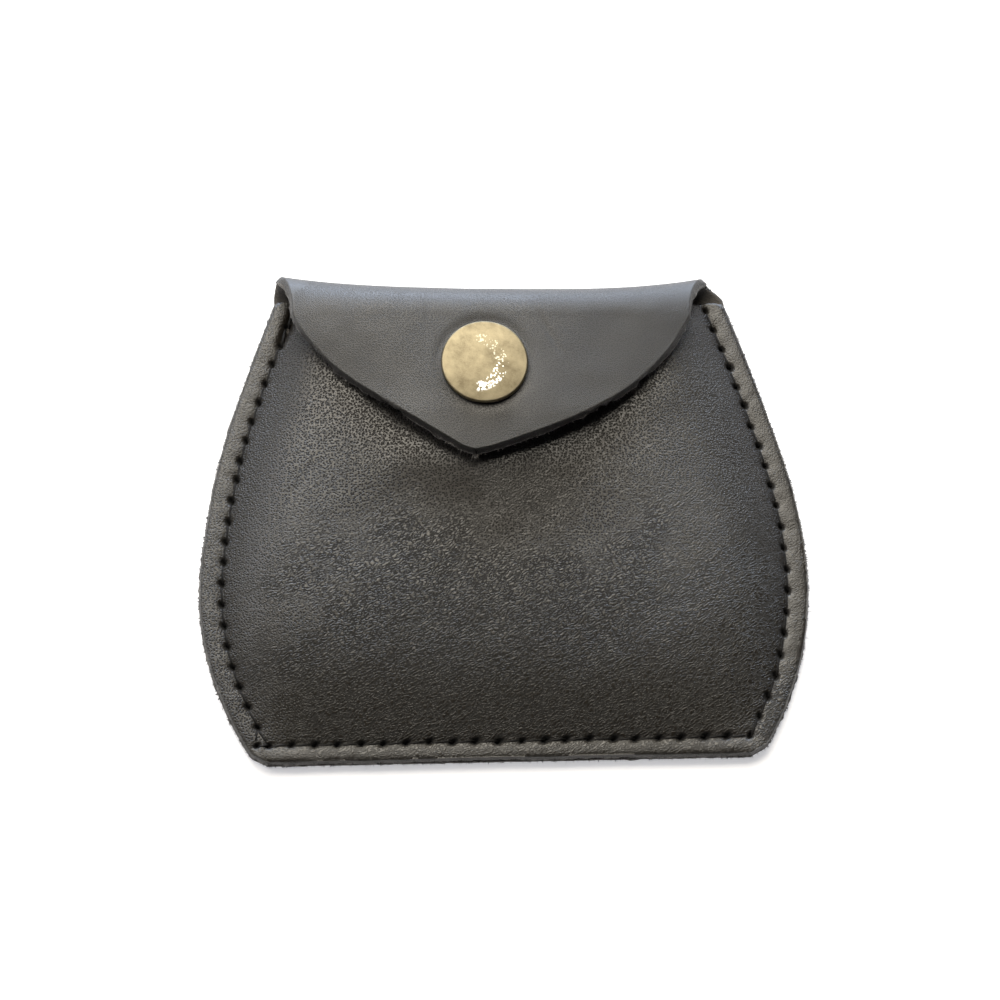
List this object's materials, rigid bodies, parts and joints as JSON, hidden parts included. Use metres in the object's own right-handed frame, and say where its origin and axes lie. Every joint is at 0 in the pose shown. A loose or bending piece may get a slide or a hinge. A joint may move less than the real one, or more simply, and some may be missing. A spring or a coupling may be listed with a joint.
{
  "type": "guitar pick holder",
  "caption": "Small black leather pouch for guitar picks: two sewn panels with a bulging pocket, and a pointed flap shut by an antique brass press stud.",
  "frame": {"origin": "under the middle of the closed pouch, on the outer face of the back panel, which it lies on", "axes": "+X to the right across the pouch, along the fold; +Y from the sewn bottom edge to the fold; +Z out of the front, through the press stud's cap"},
  "size_m": [0.0872, 0.071, 0.0125],
  "materials": {
    "black_leather": "satin, pebbled grain",
    "black_thread": "waxed",
    "antique_brass": "antique, satin",
    "spring_steel": "satin"
  },
  "bodies": {
    "pouch": {"back_panel": "black_leather", "front_panel": "black_leather", "needle_thread": "black_thread", "bobbin_thread": "black_thread", "stud": "antique_brass", "stud_eyelet": "antique_brass"},
    "fold": {"fold_strip": "black_leather"},
    "flap": {"flap": "black_leather", "cap_shell": "antique_brass", "cap_post": "antique_brass", "socket_cup": "antique_brass", "socket_plate": "antique_brass", "socket_spring": "spring_steel"}
  },
  "joints": [
    {"name": "lower_fold", "type": "hinge", "parent": "pouch", "child": "fold", "pos_m": [0, 0.03495, 0.00065], "axis": [-1, 0, 0], "range_deg": [0, 90]},
    {"name": "upper_fold", "type": "hinge", "parent": "fold", "child": "flap", "pos_m": [0, 0.03495, 0.01095], "axis": [-1, 0, 0], "range_deg": [0, 90]}
  ]
}
